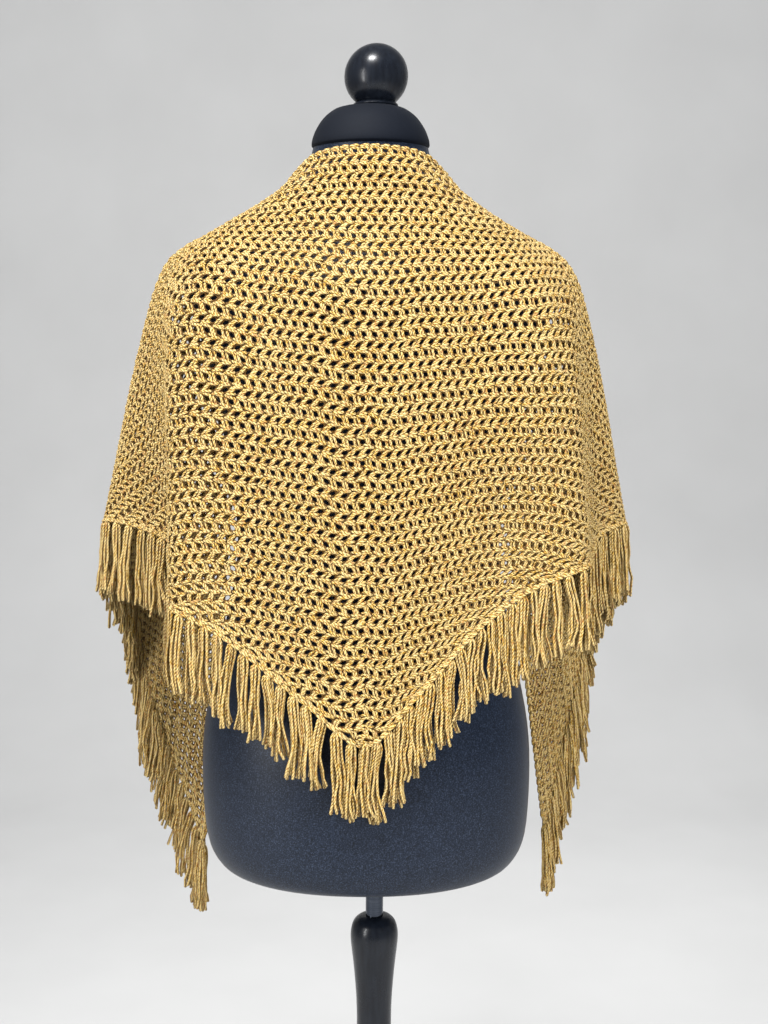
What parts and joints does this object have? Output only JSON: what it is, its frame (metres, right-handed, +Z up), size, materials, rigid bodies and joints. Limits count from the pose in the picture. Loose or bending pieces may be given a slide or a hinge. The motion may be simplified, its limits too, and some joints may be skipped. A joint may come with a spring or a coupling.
{
  "type": "shawl on dress form",
  "caption": "Crocheted triangular shawl with a knotted yarn fringe, draped over the shoulders of a limbless dress form on a turned stand.",
  "frame": {"origin": "on the floor, at the middle of the base's flat underside", "axes": "+Z up; the shawl's back faces -Y, and the form's bust and the shawl's two hanging ends face +Y; +X is on the right of someone who looks at the shawl's back"},
  "size_m": [0.5847, 0.3444, 1.6045],
  "materials": {
    "mustard_yarn": "matte marled crochet yarn",
    "navy_jersey": "matte stretch jersey",
    "black_cap": "matte woven cap cover",
    "black_wood": "black satin lacquer",
    "chrome": "polished"
  },
  "bodies": {
    "root": {"shawl_body": "mustard_yarn", "fringe_back_left": "mustard_yarn", "fringe_back_right": "mustard_yarn", "fringe_side_left": "mustard_yarn", "fringe_side_right": "mustard_yarn", "fringe_front_left": "mustard_yarn", "fringe_front_right": "mustard_yarn", "form_torso": "navy_jersey", "neck_cap": "black_cap", "ball_finial": "black_wood", "pole": "chrome", "column": "black_wood", "base": "black_wood"}
  },
  "joints": []
}
